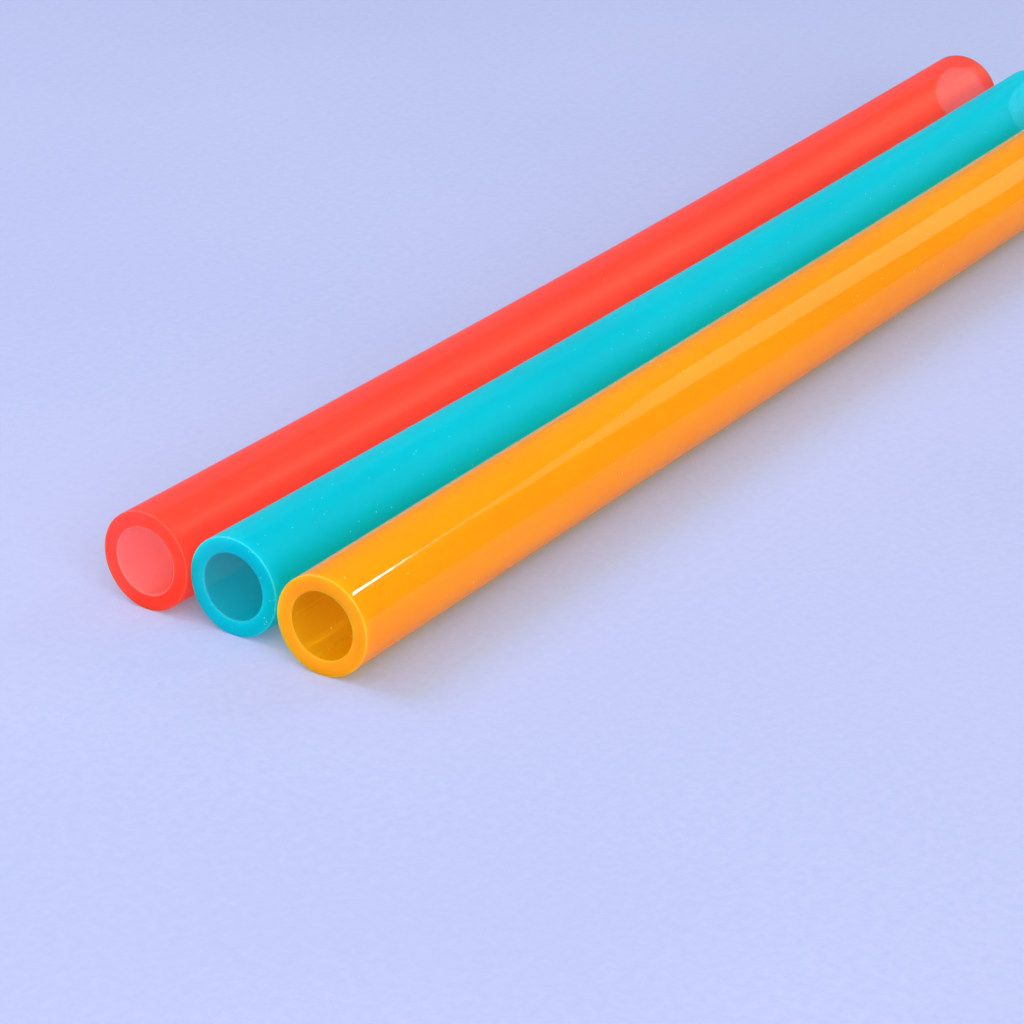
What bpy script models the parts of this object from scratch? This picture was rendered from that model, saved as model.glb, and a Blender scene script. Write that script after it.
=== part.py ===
"""A set of three plain suction tubes lying side by side on a flat surface.

Each tube is one soft extruded length with a round bore right through it and square-cut, open ends.
The set lies along +X, from its near ends to its far ends, and it stands on z = 0. The tubes bow a
little together towards +Y, and the amber one closes on its neighbour along its length.
"""

import math
from dataclasses import dataclass

import bpy
import numpy as np
from mathutils import Vector

# Driving dimensions, in metres.
OUTER_DIAMETER = 0.0065
BORE_DIAMETER = 0.0044
LENGTH = 0.107            # of each tube, along X
SIDE_CLEARANCE = 0.00015  # air between neighbours where they lie closest
BOW = 0.0025              # how far a far end lies to the +Y side of where it would lie if straight

RADIUS = OUTER_DIAMETER / 2
WALL = (OUTER_DIAMETER - BORE_DIAMETER) / 2
PITCH = OUTER_DIAMETER + SIDE_CLEARANCE

# How finely a tube is divided.
SIDES = 40
STATIONS = 11
SHARP_ANGLE = math.radians(40)

SET_NAME = "suction_tube_set"


@dataclass
class Tube:
    """One tube of the set: where it lies, and its colour."""

    name: str
    row: int            # place across the set, counted from the middle tube towards +Y
    set_back: float     # the near end's X
    spread: float       # extra air beside the middle tube at the near end, gone at the far end
    colour: tuple
    roughness: float


TUBES = (
    Tube("red_tube", 1, -0.00016, 0.0, (0.90, 0.08, 0.03, 1.0), 0.38),
    Tube("cyan_tube", 0, 0.0, 0.0, (0.0, 0.48, 0.60, 1.0), 0.45),
    Tube("amber_tube", -1, -0.00124, 0.00095, (0.87, 0.38, 0.01, 1.0), 0.15),
)


def clear_scene():
    """Removes every object, so that the script can be run again in the same file."""
    for item in list(bpy.data.objects):
        bpy.data.objects.remove(item)


def make_material(tube):
    """The tube's own plastic: a Principled BSDF in its colour."""
    material = bpy.data.materials.new(tube.name)
    material.use_nodes = True
    shader = material.node_tree.nodes["Principled BSDF"]
    shader.inputs["Base Color"].default_value = tube.colour
    shader.inputs["Roughness"].default_value = tube.roughness
    shader.inputs["Metallic"].default_value = 0.0
    material.diffuse_color = tube.colour
    return material


def centre_line(tube):
    """Points along a tube's middle, from its near end, as an array of x, y, z.

    With t from 0 at the near end to 1 at the far end, the common bow is t squared, and the spread
    beside the middle tube dies away as the fourth power of 1 - t.
    """
    t = np.linspace(0.0, 1.0, STATIONS)
    across = tube.row * (PITCH + tube.spread * (1.0 - t) ** 4) + BOW * t**2
    return np.column_stack((tube.set_back + LENGTH * t, across, np.full(STATIONS, RADIUS)))


def make_guide(tube, points):
    """A curve along the points, bevelled to the tube's outside and open at both ends."""
    curve = bpy.data.curves.new(tube.name + "_guide", "CURVE")
    curve.dimensions = "3D"
    curve.twist_mode = "Z_UP"
    curve.bevel_depth = RADIUS
    curve.bevel_resolution = SIDES // 2 - 2
    curve.use_fill_caps = False
    spline = curve.splines.new("POLY")
    spline.points.add(len(points) - 1)
    for knot, place in zip(spline.points, points):
        knot.co = (*place, 1.0)
    return bpy.data.objects.new(curve.name, curve)


def make_tube(tube, collection):
    """A hollow tube: the open outer skin, thickened inwards by the wall, with both ends closed over."""
    points = centre_line(tube)
    near_end = points[0]
    guide = make_guide(tube, points - near_end)
    collection.objects.link(guide)

    wall = guide.modifiers.new("wall", "SOLIDIFY")
    wall.thickness = WALL
    wall.offset = -1.0
    wall.use_even_offset = True

    graph = bpy.context.evaluated_depsgraph_get()
    mesh = bpy.data.meshes.new_from_object(guide.evaluated_get(graph))
    mesh.name = tube.name
    mesh.shade_smooth()
    mesh.set_sharp_from_angle(angle=SHARP_ANGLE)
    mesh.materials.clear()
    mesh.materials.append(make_material(tube))
    guide_curve = guide.data
    bpy.data.objects.remove(guide)
    bpy.data.curves.remove(guide_curve)

    piece = bpy.data.objects.new(tube.name, mesh)
    piece.location = near_end
    collection.objects.link(piece)
    return piece


def centre_on_origin(holder, pieces):
    """Moves the holder so that the set's box is centred over the origin, with its base at z = 0."""
    bpy.context.view_layer.update()
    corners = np.array([piece.matrix_world @ Vector(corner) for piece in pieces for corner in piece.bound_box])
    low = corners.min(axis=0)
    high = corners.max(axis=0)
    holder.location = (-(low[0] + high[0]) / 2, -(low[1] + high[1]) / 2, -low[2])


def build_set():
    """Makes the three tubes and their common empty."""
    clear_scene()
    collection = bpy.data.collections.new(SET_NAME)
    bpy.context.scene.collection.children.link(collection)
    holder = bpy.data.objects.new(SET_NAME, None)
    collection.objects.link(holder)
    pieces = [make_tube(tube, collection) for tube in TUBES]
    for piece in pieces:
        piece.parent = holder
    centre_on_origin(holder, pieces)


build_set()
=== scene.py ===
"""The looks of a set of three soft, translucent suction tubes lying side by side on a pale sheet.

Each tube is one closed surface: a section loop in the plane of the tube's radius is carried round
the tube and along its gently bowed middle line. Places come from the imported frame, in metres.
"""

import math
from dataclasses import dataclass

import bpy
import numpy as np
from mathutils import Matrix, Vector


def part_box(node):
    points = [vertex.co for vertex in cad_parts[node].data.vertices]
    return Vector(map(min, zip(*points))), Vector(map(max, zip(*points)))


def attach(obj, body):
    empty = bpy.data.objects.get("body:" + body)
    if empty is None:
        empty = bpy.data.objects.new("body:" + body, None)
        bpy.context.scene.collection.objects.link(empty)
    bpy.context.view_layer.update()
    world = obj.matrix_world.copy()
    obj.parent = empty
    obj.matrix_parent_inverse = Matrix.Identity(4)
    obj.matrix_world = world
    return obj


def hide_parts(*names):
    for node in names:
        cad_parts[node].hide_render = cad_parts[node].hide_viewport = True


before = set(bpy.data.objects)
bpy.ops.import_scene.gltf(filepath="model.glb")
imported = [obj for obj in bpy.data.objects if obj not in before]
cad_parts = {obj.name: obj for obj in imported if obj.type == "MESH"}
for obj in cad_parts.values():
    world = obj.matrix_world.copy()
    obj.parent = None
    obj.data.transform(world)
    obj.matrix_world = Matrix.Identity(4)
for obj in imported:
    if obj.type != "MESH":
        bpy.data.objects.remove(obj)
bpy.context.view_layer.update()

MM = 0.001

# The tubes: each node and the body that carries it.
BODIES = {"red_tube": "left_tube", "cyan_tube": "middle_tube", "amber_tube": "right_tube"}
MIDDLE = "cyan_tube"

# Proportions of a tube, as shares of its outside radius.
BORE_SHARE = 0.0044 / 0.0065
LIP_SHARE = 0.022        # radius of the rounding on a cut edge
DRAW_SHARE = 0.004       # how far the soft skin draws in and out along its length
SLANT_SHARE = 0.022      # how far a knife cut leans and dishes at a tube's end

# The slow waves of the skin: length along the tube, waves round it, share of the tube's phase.
WAVES = ((31 * MM, 2, 1.0), (17 * MM, -3, 2.1), (67 * MM, 1, 0.7))

# A knife cut's tilt and its softer warp, which add up to a half, and the warp's share of the phase.
TILT = 0.36
WARP = 0.14
WARP_PHASE = 1.7

# Phases, in radians, that make each tube and each cut its own.
FIRST_PHASE = 1.3
NEXT_TUBE = 2.4
FAR_CUT = 2.0

# Fineness of the grid.
ROUND = 160              # columns round a tube
SKIN_ROWS = 150          # rows along the outside, and along the bore
FACE_ROWS = 10           # rows across a cut end
LIP_ROWS = 5             # rows round a cut edge


# ---------------------------------------------------------------- tube shape

def tube_facts(node):
    """A tube's radius, ends and bow, read from the boxes of its node and of the middle tube.

    The middle tube only bows, and the others bow as it does. An end face leans by the slope of the
    middle line there, so the box reaches past that line's end by radius times slope.
    """
    low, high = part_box(node)
    middle_low, middle_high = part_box(MIDDLE)
    radius = (high.z - low.z) / 2
    length = high.x - low.x
    bow = middle_high.y - middle_low.y - 2 * radius
    spread = high.y - low.y - 2 * radius - bow
    near_slope = 4 * spread / length
    far_slope = 2 * bow / length
    near_x = low.x + radius * near_slope
    far_x = high.x - radius * far_slope
    return {"radius": radius, "near": Vector((near_x, low.y + radius, radius)),
            "length": far_x - near_x, "bow": bow, "spread": spread}


def section_loop(facts):
    """The closed section of a tube's wall, as arrays: distance along, radius, cut end, bore wall.

    It runs along the outside from the near end to the far end, in across the far face, back along
    the bore and out across the near face. Each of the four edges is a quarter circle of radius lip.
    Rows crowd towards the ends: share = even / 2 + (1 - cos(pi even)) / 4.
    """
    outer = facts["radius"]
    bore = outer * BORE_SHARE
    lip = outer * LIP_SHARE
    length = facts["length"]
    even = np.linspace(0.0, 1.0, SKIN_ROWS)
    skin = lip + (length - 2 * lip) * (0.5 * even + 0.25 * (1.0 - np.cos(math.pi * even)))
    quarter = np.linspace(0.0, math.pi / 2, LIP_ROWS + 2)[1:-1]
    rise = lip * np.sin(quarter)
    fall = lip * np.cos(quarter)
    face = np.linspace(bore + lip, outer - lip, FACE_ROWS)
    # Each stretch: distance along, radius, whether it is a cut end, whether it is the bore wall.
    stretches = (
        (skin, np.full(SKIN_ROWS, outer), 0.0, 0.0),
        (length - lip + rise, outer - lip + fall, 0.5, 0.0),
        (np.full(FACE_ROWS, length), face[::-1], 1.0, 0.0),
        (length - lip + fall, bore + lip - rise, 0.5, 0.5),
        (skin[::-1], np.full(SKIN_ROWS, bore), 0.0, 1.0),
        (lip - rise, bore + lip - fall, 0.5, 0.5),
        (np.zeros(FACE_ROWS), face, 1.0, 0.0),
        (lip - fall, outer - lip + rise, 0.5, 0.0),
    )
    counts = [len(stretch[0]) for stretch in stretches]
    along = np.concatenate([stretch[0] for stretch in stretches])
    radius = np.concatenate([stretch[1] for stretch in stretches])
    cut_end = np.repeat([stretch[2] for stretch in stretches], counts)
    bore_wall = np.repeat([stretch[3] for stretch in stretches], counts)
    return along, radius, cut_end, bore_wall


def middle_line(facts, along):
    """Centre and sideways direction at each distance along the tube.

    The line is y = bow t^2 + spread (1 - (1 - t)^4), with t from 0 at the near end to 1 at the far end.
    """
    t = along / facts["length"]
    x = facts["near"].x + along
    y = facts["near"].y + facts["bow"] * t**2 + facts["spread"] * (1.0 - (1.0 - t) ** 4)
    slope = (2 * facts["bow"] * t + 4 * facts["spread"] * (1.0 - t) ** 3) / facts["length"]
    steep = np.sqrt(1.0 + slope**2)
    centre = np.stack((x, y, np.full_like(x, facts["near"].z)), axis=-1)
    side = np.stack((-slope / steep, 1.0 / steep, np.zeros_like(x)), axis=-1)
    return centre, side


def draw_ripple(along, turn, phase):
    """How far the skin draws in, from 0 to 1: a half, and half the mean of the slow waves.

    A wave is sin(2 pi along / wave length + waves round * turn + share * phase).
    """
    waves = sum(np.sin(2 * math.pi * along / wave_length + waves_round * turn + share * phase)
                for wave_length, waves_round, share in WAVES)
    return 0.5 + waves / (2 * len(WAVES))


def cut_slant(turn, phase):
    """How far a cut end leans back round the tube, from 0 to 1.

    It is 1/2 + tilt cos(turn - phase) + warp cos(2 turn + warp phase * phase).
    """
    return 0.5 + TILT * np.cos(turn - phase) + WARP * np.cos(2 * turn + WARP_PHASE * phase)


def tube_mesh(node, phase):
    """The tube's closed surface as a mesh: rows follow the section loop and columns go round.

    A point is centre(along) + radius (1 - draw) (side cos turn + up sin turn). Where the loop is
    near an end, along is first moved inwards by the slant of the cut, which dies out over one radius.
    """
    facts = tube_facts(node)
    outer = facts["radius"]
    length = facts["length"]
    along, radius, cut_end, bore_wall = section_loop(facts)
    rows = len(along)
    turn = np.linspace(0.0, 2 * math.pi, ROUND, endpoint=False)

    from_near = np.clip(1.0 - along / outer, 0.0, 1.0)[:, None]
    from_far = np.clip(1.0 - (length - along) / outer, 0.0, 1.0)[:, None]
    slant = outer * SLANT_SHARE
    near_cut = from_near * cut_slant(turn, phase)
    far_cut = from_far * cut_slant(turn, phase + FAR_CUT)
    moved = along[:, None] + slant * (near_cut - far_cut)
    drawn = radius[:, None] * (1.0 - DRAW_SHARE * draw_ripple(moved, turn, phase))

    centre, side = middle_line(facts, moved)
    up = np.array((0.0, 0.0, 1.0))
    out = side * np.cos(turn)[None, :, None] + up * np.sin(turn)[None, :, None]
    points = centre + drawn[:, :, None] * out

    row = np.arange(rows)[:, None]
    column = np.arange(ROUND)[None, :]
    next_row = (row + 1) % rows
    next_column = (column + 1) % ROUND
    corners = (row * ROUND + column, row * ROUND + next_column,
               next_row * ROUND + next_column, next_row * ROUND + column)
    faces = np.stack(corners, axis=-1).reshape(-1, 4)
    mesh = bpy.data.meshes.new(node + "_skin")
    mesh.from_pydata(points.reshape(-1, 3).tolist(), [], faces.tolist())
    mesh.shade_smooth()

    # The map: u is the distance along as a share of the length, v the turn as a share of a circle.
    u = along / length
    v = np.arange(ROUND + 1) / ROUND
    u_here = np.repeat(u, ROUND)
    u_next = np.repeat(np.roll(u, -1), ROUND)
    v_here = np.tile(v[:-1], rows)
    v_next = np.tile(v[1:], rows)
    layout = np.stack((u_here, v_here, u_here, v_next, u_next, v_next, u_next, v_here), axis=-1)
    mesh.uv_layers.new(name="tube_map").data.foreach_set("uv", layout.ravel().astype(np.float32))

    for name, values in (("cut_end", cut_end), ("bore_wall", bore_wall)):
        mask = mesh.attributes.new(name, "FLOAT", "POINT")
        mask.data.foreach_set("value", np.repeat(values, ROUND).astype(np.float32))
    return mesh


# ---------------------------------------------------------------- shared effects

PATCH_STRETCH = 0.15     # a patch's width as a share of its length along the tube
PATCH_EDGE = (0.35, 0.65)    # where the noise starts and ends its step from pale to deep


class Nodes:
    """A short way to add and join the nodes of one tree."""

    def __init__(self, tree):
        self.tree = tree

    def add(self, kind, settings=None, **inputs):
        """A node of a kind, with its settings, and its inputs set to values or joined to sockets.

        An input's name is written with _ for a space.
        """
        node = self.tree.nodes.new("ShaderNode" + kind)
        for name, value in (settings or {}).items():
            setattr(node, name, value)
        for name, value in inputs.items():
            self.feed(node.inputs[name.replace("_", " ")], value)
        return node

    def feed(self, socket, value):
        """Join a socket to another one, or give it a value."""
        if isinstance(value, bpy.types.NodeSocket):
            self.tree.links.new(value, socket)
        else:
            socket.default_value = value

    def math(self, operation, first, second=0.0, third=0.0):
        """The result of one Math node."""
        node = self.tree.nodes.new("ShaderNodeMath")
        node.operation = operation
        for socket, value in zip(node.inputs, (first, second, third)):
            self.feed(socket, value)
        return node.outputs["Value"]

    def blend(self, factor, first, second):
        """A colour between two colours."""
        node = self.add("Mix", {"data_type": "RGBA"})
        self.feed(node.inputs["Factor"], factor)
        self.feed(node.inputs[6], first)
        self.feed(node.inputs[7], second)
        return node.outputs[2]

    def ramp(self, value, low, high, to_low=0.0, to_high=1.0):
        """A smooth step of a value from low to high."""
        node = self.add("MapRange", {"interpolation_type": "SMOOTHSTEP"}, Value=value, From_Min=low,
                        From_Max=high, To_Min=to_low, To_Max=to_high)
        return node.outputs["Result"]


def new_effect(name, inputs, outputs):
    """An empty node group with named inputs (kind, value) and outputs (kind)."""
    group = bpy.data.node_groups.new(name, "ShaderNodeTree")
    for label, (kind, value) in inputs.items():
        socket = group.interface.new_socket(label, in_out="INPUT", socket_type="NodeSocket" + kind)
        socket.default_value = value
    for label, kind in outputs.items():
        group.interface.new_socket(label, in_out="OUTPUT", socket_type="NodeSocket" + kind)
    nodes = Nodes(group)
    given = group.nodes.new("NodeGroupInput")
    result = group.nodes.new("NodeGroupOutput")
    return group, nodes, given.outputs, result.inputs


def make_specks():
    """Fine dust and bubbles: a small round dot in a chosen share of the cells of a 3-D mosaic.

    Dot Size is a dot's radius as a share of a cell.
    """
    group, nodes, given, result = new_effect(
        "fine_specks",
        {"Cells per Metre": ("Float", 1500.0), "Dot Size": ("Float", 0.2), "Share": ("Float", 0.2)},
        {"Mask": "Float"})
    place = nodes.add("TexCoord").outputs["Object"]
    cells = nodes.add("TexVoronoi", Vector=place, Scale=given["Cells per Metre"])
    pick = nodes.add("SeparateColor", Color=cells.outputs["Color"]).outputs["Red"]
    chosen = nodes.math("LESS_THAN", pick, given["Share"])
    core = nodes.math("MULTIPLY", given["Dot Size"], 0.5)
    dot = nodes.ramp(cells.outputs["Distance"], core, given["Dot Size"], 1.0, 0.0)
    nodes.feed(result["Mask"], nodes.math("MULTIPLY", dot, chosen))
    return group


def make_drawn_lines():
    """Faint lines that the die leaves along a tube: noise that is fine round it and long along it."""
    group, nodes, given, result = new_effect(
        "drawn_lines",
        {"Fineness": ("Float", 6.0), "Run": ("Float", 1.5)},
        {"Height": "Float"})
    spot = nodes.add("SeparateXYZ", Vector=nodes.add("UVMap", {"uv_map": "tube_map"}).outputs["UV"])
    angle = nodes.math("MULTIPLY", spot.outputs["Y"], 2 * math.pi)
    east = nodes.math("MULTIPLY", nodes.math("COSINE", angle), given["Fineness"])
    north = nodes.math("MULTIPLY", nodes.math("SINE", angle), given["Fineness"])
    along = nodes.math("MULTIPLY", spot.outputs["X"], given["Run"])
    place = nodes.add("CombineXYZ", X=east, Y=north, Z=along).outputs["Vector"]
    lines = nodes.add("TexNoise", Vector=place, Scale=1.0, Detail=3.0, Roughness=0.55)
    nodes.feed(result["Height"], lines.outputs["Fac"])
    return group


def make_cloudiness():
    """Long soft patches of a paler and a deeper shade, as in a rubber drawn through a die."""
    group, nodes, given, result = new_effect(
        "cloudiness",
        {"Pale": ("Color", (1, 1, 1, 1)), "Deep": ("Color", (0, 0, 0, 1)),
         "Patches per Metre": ("Float", 260.0)},
        {"Colour": "Color"})
    place = nodes.add("TexCoord").outputs["Object"]
    drawn_out = nodes.add("Mapping", Vector=place, Scale=(PATCH_STRETCH, 1.0, 1.0)).outputs["Vector"]
    patches = nodes.add("TexNoise", Vector=drawn_out, Scale=given["Patches per Metre"],
                        Detail=2.0, Roughness=0.5)
    amount = nodes.ramp(patches.outputs["Fac"], *PATCH_EDGE)
    nodes.feed(result["Colour"], nodes.blend(amount, given["Pale"], given["Deep"]))
    return group


def make_knife_marks():
    """Fine bowed ridges that a knife leaves across a cut end, and nothing elsewhere.

    End is 1 on the face and a half on the rounding of its edges, and Edge is 1 on that rounding only:
    Edge = 1 - |2 End - 1|. Edge is the mask of the painted highlight on the cut edges.
    """
    group, nodes, given, result = new_effect(
        "knife_marks",
        {"Ridges per Metre": ("Float", 900.0)},
        {"Height": "Float", "End": "Float", "Edge": "Float"})
    place = nodes.add("TexCoord").outputs["Object"]
    ridges = nodes.add("TexWave", {"bands_direction": "DIAGONAL"}, Vector=place,
                       Scale=given["Ridges per Metre"], Distortion=2.5, Detail=2.0, Detail_Scale=0.6)
    end = nodes.add("Attribute", {"attribute_name": "cut_end"}).outputs["Fac"]
    nodes.feed(result["Height"], nodes.math("MULTIPLY", ridges.outputs["Fac"], end))
    nodes.feed(result["End"], end)
    from_middle = nodes.math("ABSOLUTE", nodes.math("MULTIPLY_ADD", end, 2.0, -1.0))
    nodes.feed(result["Edge"], nodes.math("SUBTRACT", 1.0, from_middle))
    return group


EFFECTS = {
    "specks": make_specks(),
    "drawn_lines": make_drawn_lines(),
    "cloudiness": make_cloudiness(),
    "knife_marks": make_knife_marks(),
}


def place_effect(nodes, name, **inputs):
    """One of the shared effects, placed in a material with its own values; its output sockets."""
    node = nodes.add("Group", {"node_tree": EFFECTS[name]}, **inputs)
    return node.outputs


# ---------------------------------------------------------------- finishes

@dataclass
class Finish:
    """What one tube's rubber looks like. Colours are linear red, green and blue, lengths in metres."""

    pale: tuple              # the body, where the pigment is thin
    deep: tuple              # the body, where the pigment is thick
    bore: tuple              # the bore wall, painted paler or darker for the light and shade inside the bore
    dust_and_edge_highlight: tuple              # specks on the skin, and the painted highlight on the cut edges
    roughness: float         # of the skin
    shine: float             # share of the skin's mirror reflection
    skin_cover: float        # share of the skin that is milky; the rest shows what is behind it
    bore_cover: float        # the same share on the bore wall
    stain: tuple             # what the clear share lets through
    scatter: tuple           # how far each colour of light travels in the wall, as shares of reach
    reach: float             # how far light travels in the wall
    speck_size: float        # a dot's radius as a share of a cell
    speck_share: float       # share of the cells that hold a dot
    speck_cells: float       # per metre
    line_depth: float        # of the lines along the skin


FINISHES = {
    "red_tube": Finish(
        pale=(0.88, 0.036, 0.010), deep=(0.86, 0.030, 0.008),
        # The red bore's pink is painted light: the lit sheet showing through the wall.
        bore=(0.62, 0.29, 0.31), dust_and_edge_highlight=(1.0, 0.35, 0.25),
        roughness=0.36, shine=0.28, skin_cover=0.68, bore_cover=0.20,
        stain=(1.0, 0.78, 0.70), scatter=(1.0, 0.30, 0.25), reach=4.5 * MM,
        speck_size=0.11, speck_share=0.05, speck_cells=1500.0, line_depth=0.010 * MM),
    "cyan_tube": Finish(
        pale=(0.0, 0.38, 0.50), deep=(0.0, 0.35, 0.46),
        # The cyan bore's darker colour is painted shade inside the bore.
        bore=(0.0, 0.22, 0.28), dust_and_edge_highlight=(0.45, 0.85, 0.90),
        roughness=0.46, shine=0.05, skin_cover=0.78, bore_cover=0.20,
        stain=(0.50, 0.96, 1.0), scatter=(0.15, 0.90, 1.0), reach=4.0 * MM,
        speck_size=0.14, speck_share=0.14, speck_cells=2800.0, line_depth=0.008 * MM),
    "amber_tube": Finish(
        pale=(0.87, 0.285, 0.0), deep=(0.85, 0.262, 0.0),
        # The amber bore's dark olive is painted shade inside the bore, with painted green light from the
        # cyan tube beside it.
        bore=(0.22, 0.26, 0.005), dust_and_edge_highlight=(1.0, 0.80, 0.35),
        roughness=0.055, shine=0.32, skin_cover=0.72, bore_cover=0.34,
        stain=(1.0, 0.88, 0.18), scatter=(1.0, 0.70, 0.10), reach=4.5 * MM,
        speck_size=0.14, speck_share=0.09, speck_cells=1600.0, line_depth=0.004 * MM),
}


# What all the tubes' rubber has in common.
RUBBER_IOR = 1.42
GLOW = 0.70              # share of the milky wall that lamp light passes
SPECK_PALE = 0.5         # how much of the dust's colour a speck takes
EDGE_HIGHLIGHT_SHARE = 0.07          # how much of it a cut edge takes, as a painted highlight
LINE_EDGE = (0.3, 0.7)   # where the noise of the lines starts and ends its step in roughness
EVEN_ROUGH = 0.9         # roughness between the lines, as a share of the skin's
LINE_ROUGH = 1.12        # and on them
CUT_ROUGH = 0.16         # roughness that a cut end adds
SPECK_ROUGH = 0.2        # and that a speck adds
RIDGE_RISE = 0.010 * MM  # height of the ridges on a cut end
SPECK_RISE = 0.030 * MM  # height of a speck


def tube_rubber(name, finish):
    """Soft translucent rubber: cloudy body, clearer bore with painted shading, lines along it, specks and
    knife-cut ends with a painted edge highlight.
    """
    material = bpy.data.materials.new(name)
    material.use_nodes = True
    tree = material.node_tree
    nodes = Nodes(tree)
    shader = tree.nodes["Principled BSDF"]
    shader.inputs["IOR"].default_value = RUBBER_IOR
    shader.inputs["Specular IOR Level"].default_value = finish.shine
    shader.inputs["Subsurface Weight"].default_value = 1.0
    shader.inputs["Subsurface Radius"].default_value = finish.scatter
    shader.inputs["Subsurface Scale"].default_value = finish.reach

    bore = nodes.add("Attribute", {"attribute_name": "bore_wall"}).outputs["Fac"]
    body = place_effect(nodes, "cloudiness", Pale=(*finish.pale, 1), Deep=(*finish.deep, 1))["Colour"]
    specks = place_effect(nodes, "specks", Cells_per_Metre=finish.speck_cells,
                          Dot_Size=finish.speck_size, Share=finish.speck_share)["Mask"]
    lines = place_effect(nodes, "drawn_lines")["Height"]
    marks = place_effect(nodes, "knife_marks")

    # The bore wall takes its own colour: painted light and shade inside the bore.
    body_and_painted_bore_shading = nodes.blend(bore, body, (*finish.bore, 1))
    pale_specks = nodes.math("MULTIPLY", specks, SPECK_PALE)
    # The rounded cut edges take a little of the dust colour: a painted highlight along them.
    painted_edge_highlight = nodes.math("MULTIPLY", marks["Edge"], EDGE_HIGHLIGHT_SHARE)
    dust_and_painted_edge_highlight = nodes.blend(nodes.math("MAXIMUM", pale_specks, painted_edge_highlight), body_and_painted_bore_shading, (*finish.dust_and_edge_highlight, 1))
    nodes.feed(shader.inputs["Base Color"], dust_and_painted_edge_highlight)

    skin_rough = nodes.ramp(lines, *LINE_EDGE, EVEN_ROUGH * finish.roughness, LINE_ROUGH * finish.roughness)
    cut_rough = nodes.math("MULTIPLY_ADD", marks["End"], CUT_ROUGH, skin_rough)
    nodes.feed(shader.inputs["Roughness"], nodes.math("MULTIPLY_ADD", specks, SPECK_ROUGH, cut_rough))

    side_cover = nodes.math("MULTIPLY_ADD", bore, finish.bore_cover - finish.skin_cover, finish.skin_cover)
    end_cover = nodes.math("MULTIPLY", marks["End"], finish.skin_cover)
    cover = nodes.math("MAXIMUM", side_cover, end_cover)
    # Lamp light goes on through most of the milky share too, stained, so that the tubes glow and
    # tint their shadows.
    to_lamp = nodes.add("LightPath").outputs["Is Shadow Ray"]
    kept = nodes.math("MULTIPLY_ADD", to_lamp, -GLOW, 1.0)
    clear = nodes.add("BsdfTransparent", Color=(*finish.stain, 1)).outputs["BSDF"]
    wall = nodes.add("MixShader", Fac=nodes.math("MULTIPLY", cover, kept))
    nodes.feed(wall.inputs[1], clear)
    nodes.feed(wall.inputs[2], shader.outputs["BSDF"])
    nodes.feed(tree.nodes["Material Output"].inputs["Surface"], wall.outputs["Shader"])

    relief = nodes.math("MULTIPLY", lines, finish.line_depth)
    relief = nodes.math("MULTIPLY_ADD", marks["Height"], RIDGE_RISE, relief)
    relief = nodes.math("MULTIPLY_ADD", specks, SPECK_RISE, relief)
    bump = nodes.add("Bump", Height=relief, Distance=1.0, Strength=1.0)
    nodes.feed(shader.inputs["Normal"], bump.outputs["Normal"])
    return material


# ---------------------------------------------------------------- tubes

for place_in_row, (node, body) in enumerate(BODIES.items()):
    phase = FIRST_PHASE + NEXT_TUBE * place_in_row
    piece = bpy.data.objects.new(node + "_skin", tube_mesh(node, phase))
    bpy.context.scene.collection.objects.link(piece)
    piece.data.materials.append(tube_rubber(node + "_rubber", FINISHES[node]))
    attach(piece, body)
    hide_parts(node)


# ---------------------------------------------------------------- floor

FLOOR_HALF = 2.0
PAPER_SHADES = ((0.280, 0.325, 0.540, 1), (0.312, 0.350, 0.565, 1))
SHADE_EDGE = (0.3, 0.7)  # where the noise starts and ends its step between the shades
GRAINS_PER_METRE = 1600.0
CLOUDS_PER_METRE = 18.0
GRAIN_RISE = 0.03 * MM
PAPER_ROUGH = 0.9
PAPER_SHINE = 0.2


def paper_sheet():
    """Matt blue-white paper: its shade follows the mean of a fine grain and of broad faint clouds."""
    material = bpy.data.materials.new("pale_paper")
    material.use_nodes = True
    nodes = Nodes(material.node_tree)
    shader = material.node_tree.nodes["Principled BSDF"]
    shader.inputs["Roughness"].default_value = PAPER_ROUGH
    shader.inputs["Specular IOR Level"].default_value = PAPER_SHINE
    place = nodes.add("TexCoord").outputs["Object"]
    grain = nodes.add("TexNoise", Vector=place, Scale=GRAINS_PER_METRE, Detail=4.0, Roughness=0.6)
    clouds = nodes.add("TexNoise", Vector=place, Scale=CLOUDS_PER_METRE, Detail=2.0, Roughness=0.5)
    half_grain = nodes.math("MULTIPLY", grain.outputs["Fac"], 0.5)
    mean = nodes.math("MULTIPLY_ADD", clouds.outputs["Fac"], 0.5, half_grain)
    nodes.feed(shader.inputs["Base Color"], nodes.blend(nodes.ramp(mean, *SHADE_EDGE), *PAPER_SHADES))
    relief = nodes.math("MULTIPLY", grain.outputs["Fac"], GRAIN_RISE)
    bump = nodes.add("Bump", Height=relief, Distance=1.0, Strength=1.0)
    nodes.feed(shader.inputs["Normal"], bump.outputs["Normal"])
    return material


floor_mesh = bpy.data.meshes.new("floor")
floor_corners = [(-FLOOR_HALF, -FLOOR_HALF, 0), (FLOOR_HALF, -FLOOR_HALF, 0),
                 (FLOOR_HALF, FLOOR_HALF, 0), (-FLOOR_HALF, FLOOR_HALF, 0)]
floor_mesh.from_pydata(floor_corners, [], [(0, 1, 2, 3)])
floor_mesh.materials.append(paper_sheet())
floor = bpy.data.objects.new("floor", floor_mesh)
bpy.context.scene.collection.objects.link(floor)


# ---------------------------------------------------------------- camera and light

def aimed(thing, place, aim):
    """Put a camera or a light at a place, looking at a point."""
    thing.location = place
    thing.rotation_mode = "QUATERNION"
    thing.rotation_quaternion = (aim - place).to_track_quat("-Z", "Y")
    bpy.context.scene.collection.objects.link(thing)


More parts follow.
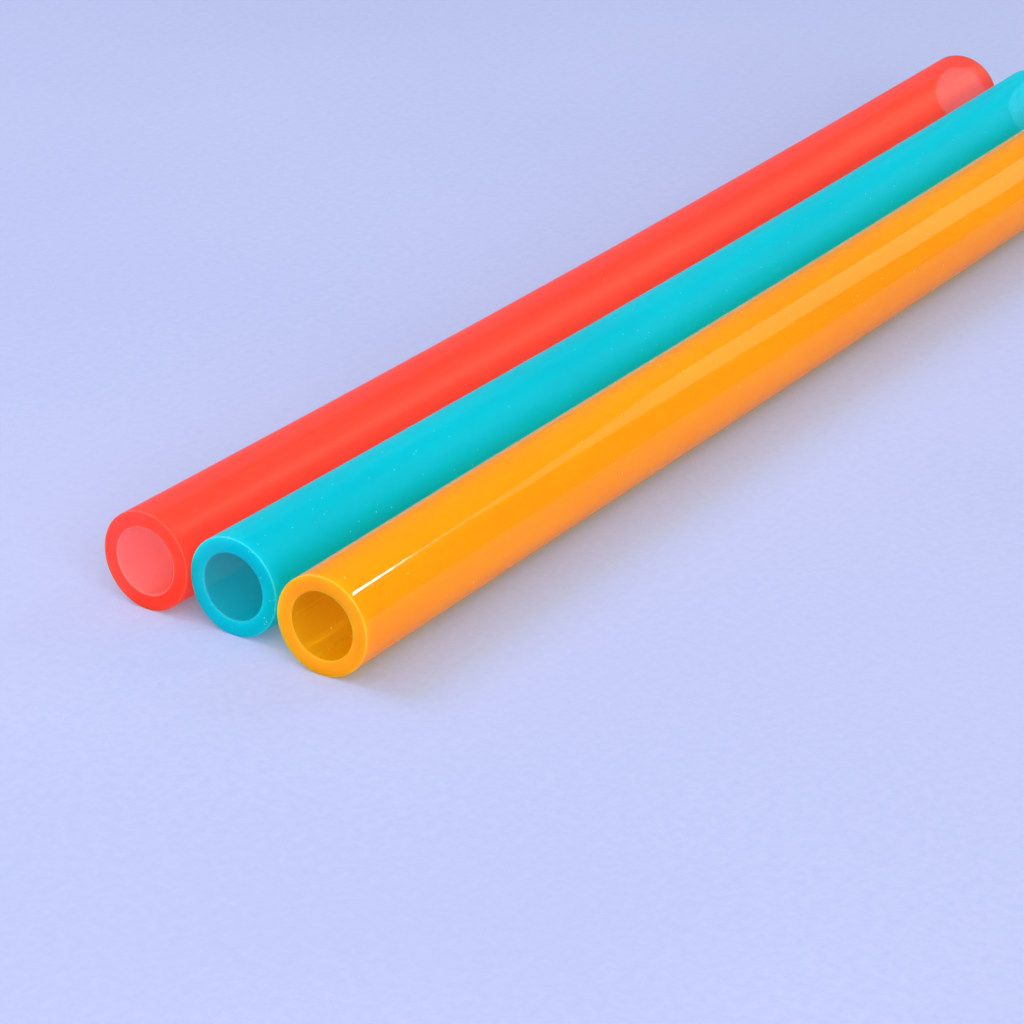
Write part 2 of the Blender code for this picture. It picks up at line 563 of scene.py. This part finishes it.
def soft_light(name, place, aim, size, power, colour):
    """A rectangular soft light, in metres and watts."""
    data = bpy.data.lights.new(name, "AREA")
    data.shape = "RECTANGLE"
    data.size, data.size_y = size
    data.energy = power
    data.color = colour
    aimed(bpy.data.objects.new(name, data), Vector(place), Vector(aim))


# The camera stands in front of the near ends, to the right and above: VIEW_STAND is its place in
# tube radii, counted from the middle tube's near end.
VIEW_TURN = math.radians(34.7)
VIEW_DIP = math.radians(24.5)
VIEW_STAND = Vector((-50.6, -41.3, 31.2))
LENS = 137.8
NEAREST = 0.01
middle = tube_facts(MIDDLE)
ahead = Vector((math.cos(VIEW_DIP) * math.cos(VIEW_TURN),
                math.cos(VIEW_DIP) * math.sin(VIEW_TURN),
                -math.sin(VIEW_DIP)))
stand = middle["near"] + middle["radius"] * VIEW_STAND
camera = bpy.data.objects.new("camera", bpy.data.cameras.new("camera"))
camera.data.lens = LENS
camera.data.clip_start = NEAREST
aimed(camera, stand, stand + ahead)
bpy.context.scene.camera = camera

# Each light's name, place, aim, size, power and colour.
soft_light("overhead", (-0.28, 0.0, 0.42), (-0.06, 0, 0), (0.50, 0.50), 1.4, (1.0, 0.94, 0.89))
soft_light("key", (-0.05, 0.45, 0.50), (-0.03, 0, 0), (0.30, 0.30), 3.1, (0.94, 0.98, 1.0))
soft_light("fill", (-0.45, -0.50, 0.35), (0, 0, 0), (0.60, 0.50), 8.8, (1.0, 0.90, 0.80))
soft_light("back_glint", (0.236, -0.135, 0.24), (-0.05, -0.01, 0), (0.040, 0.008), 0.14, (1.0, 0.93, 0.74))
soft_light("back_band", (0.52, -0.10, 0.30), (0.03, 0, 0), (0.24, 0.22), 0.40, (1.0, 0.88, 0.50))

ROOM_COLOUR = (0.84, 0.92, 1.0, 1)
ROOM_STRENGTH = 0.30
world = bpy.data.worlds.new("pale_room")
world.use_nodes = True
world.node_tree.nodes["Background"].inputs["Color"].default_value = ROOM_COLOUR
world.node_tree.nodes["Background"].inputs["Strength"].default_value = ROOM_STRENGTH
bpy.context.scene.world = world
bpy.context.scene.view_settings.view_transform = "Standard"
